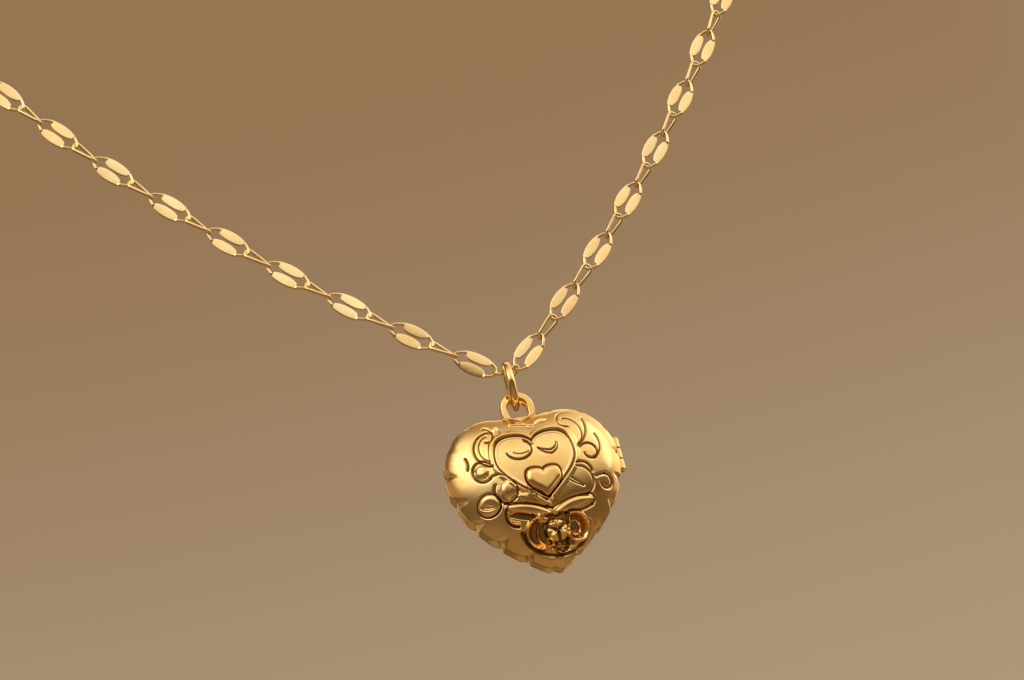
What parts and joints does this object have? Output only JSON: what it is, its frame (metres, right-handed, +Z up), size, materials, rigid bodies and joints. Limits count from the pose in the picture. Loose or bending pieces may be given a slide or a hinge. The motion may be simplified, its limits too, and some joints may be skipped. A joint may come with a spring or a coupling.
{
  "type": "heart locket",
  "caption": "Puffed heart locket with a side-hinged cover, hung by a bail and jump ring from a leaf-link chain held in a V.",
  "frame": {"origin": "the chain's lowest contact, between its two bottom links, where the jump ring hangs", "axes": "+Z up, +X to the right of the locket's front, which faces -Y"},
  "size_m": [0.0931, 0.0066, 0.0726],
  "materials": {
    "case_gold": "gold plated, high polish",
    "chain_gold": "gold plated, polished",
    "spring_steel": "satin",
    "acetate": "clear",
    "card": "matt"
  },
  "bodies": {
    "chain": {"bottom_link_left": "chain_gold", "leaf_link_1_left": "chain_gold", "small_link_1_left": "chain_gold", "leaf_link_2_left": "chain_gold", "small_link_2_left": "chain_gold", "leaf_link_3_left": "chain_gold", "small_link_3_left": "chain_gold", "leaf_link_4_left": "chain_gold", "small_link_4_left": "chain_gold", "leaf_link_5_left": "chain_gold", "small_link_5_left": "chain_gold", "leaf_link_6_left": "chain_gold", "small_link_6_left": "chain_gold", "leaf_link_7_left": "chain_gold", "small_link_7_left": "chain_gold", "leaf_link_8_left": "chain_gold", "small_link_8_left": "chain_gold", "leaf_link_9_left": "chain_gold", "small_link_9_left": "chain_gold", "clasp_ring": "case_gold", "clasp_body": "case_gold", "clasp_pin": "case_gold", "clasp_spring": "spring_steel", "bottom_link_right": "chain_gold", "leaf_link_1_right": "chain_gold", "small_link_1_right": "chain_gold", "leaf_link_2_right": "chain_gold", "small_link_2_right": "chain_gold", "leaf_link_3_right": "chain_gold", "small_link_3_right": "chain_gold", "leaf_link_4_right": "chain_gold", "small_link_4_right": "chain_gold", "leaf_link_5_right": "chain_gold", "small_link_5_right": "chain_gold", "leaf_link_6_right": "chain_gold", "small_link_6_right": "chain_gold", "leaf_link_7_right": "chain_gold", "small_link_7_right": "chain_gold", "leaf_link_8_right": "chain_gold", "small_link_8_right": "chain_gold", "end_tag_right": "chain_gold", "catch_ring": "case_gold"},
    "ring": {"jump_ring": "case_gold"},
    "locket_back": {"rear_shell": "case_gold", "snap_rim": "case_gold", "catch_bead": "case_gold", "hinge_knuckle_upper": "case_gold", "hinge_knuckle_lower": "case_gold", "hinge_pin": "case_gold", "bail_loop": "case_gold", "photo_frame_rear": "case_gold", "photo_window_rear": "acetate", "photo_card_rear": "card"},
    "locket_cover": {"front_shell": "case_gold", "hinge_knuckle_cover": "case_gold", "photo_frame_front": "case_gold", "photo_window_front": "acetate", "photo_card_front": "card"},
    "claw_lever": {"clasp_lever": "case_gold"}
  },
  "joints": [
    {"name": "ring_swing", "type": "hinge", "parent": "chain", "child": "ring", "pos_m": [0, 0, 0], "axis": [1, 0, 0], "range_deg": [-90, 90]},
    {"name": "locket_swing", "type": "hinge", "parent": "ring", "child": "locket_back", "pos_m": [0, 0, -0.00325], "axis": [0, 1, 0], "range_deg": [-50, 50]},
    {"name": "cover_hinge", "type": "hinge", "parent": "locket_back", "child": "locket_cover", "pos_m": [0.00858, 0, -0.0099], "axis": [0, 0, 1], "range_deg": [0, 150]},
    {"name": "claw_lever_pivot", "type": "hinge", "parent": "chain", "child": "claw_lever", "pos_m": [-0.04957, 0.00075, 0.04691], "axis": [0.7788, 0, 0.6273], "range_deg": [0, 20], "stiffness_Nm_per_rad": 0.01, "springref_deg": -11.46}
  ]
}
